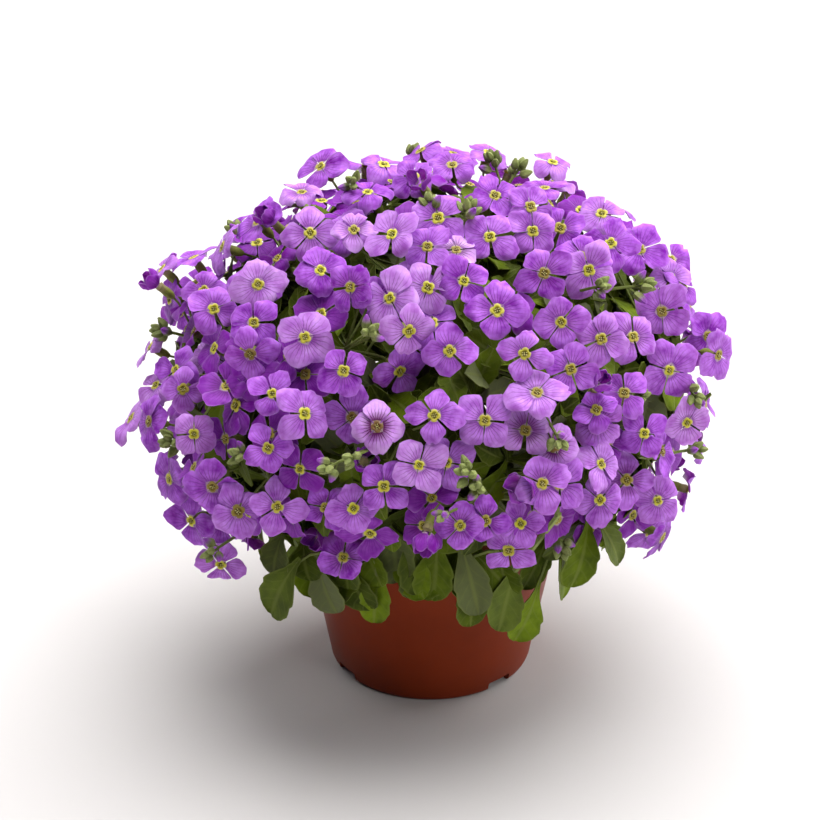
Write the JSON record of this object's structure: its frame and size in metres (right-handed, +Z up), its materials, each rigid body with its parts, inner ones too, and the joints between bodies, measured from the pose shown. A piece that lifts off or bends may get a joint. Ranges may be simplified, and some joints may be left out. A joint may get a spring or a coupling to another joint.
{
  "type": "potted aubrieta",
  "caption": "Aubrieta in full flower in a plain round nursery pot: a dense mound of four-petalled blooms over spoon-shaped toothed leaves that hang over the rim.",
  "frame": {"origin": "on the surface the pot stands on, under the middle of the whole plant's bounding box; the pot's own axis stands 5 mm from it towards +X and 4 mm towards -Y", "axes": "+Z up along the pot's axis; -Y is the side that faces the viewer in the picture"},
  "size_m": [0.2396, 0.2216, 0.2098],
  "materials": {
    "pot": "satin moulded plastic, terracotta brown",
    "compost": "dark damp peat-like compost, crumbly",
    "flowers": "thin soft petals, violet with a yellow-green eye, on green stalks",
    "foliage": "soft hairy grey-green leaves and shoots"
  },
  "bodies": {
    "root": {"pot": "pot", "compost": "compost", "spray_01": "flowers", "spray_02": "flowers", "spray_03": "flowers", "spray_04": "flowers", "spray_05": "flowers", "spray_06": "flowers", "spray_07": "flowers", "spray_08": "flowers", "spray_09": "flowers", "spray_10": "flowers", "spray_11": "flowers", "spray_12": "flowers", "spray_13": "flowers", "spray_14": "flowers", "spray_15": "flowers", "spray_16": "flowers", "spray_17": "flowers", "spray_18": "flowers", "spray_19": "flowers", "spray_20": "flowers", "spray_21": "flowers", "spray_22": "flowers", "spray_23": "flowers", "spray_24": "flowers", "spray_25": "flowers", "spray_26": "flowers", "spray_27": "flowers", "spray_28": "flowers", "spray_29": "flowers", "spray_30": "flowers", "spray_31": "flowers", "spray_32": "flowers", "spray_33": "flowers", "spray_34": "flowers", "shoot_01": "foliage", "shoot_02": "foliage", "shoot_03": "foliage", "shoot_04": "foliage", "shoot_05": "foliage", "shoot_06": "foliage", "shoot_07": "foliage", "shoot_08": "foliage", "shoot_09": "foliage", "shoot_10": "foliage", "shoot_11": "foliage", "shoot_12": "foliage"}
  },
  "joints": []
}
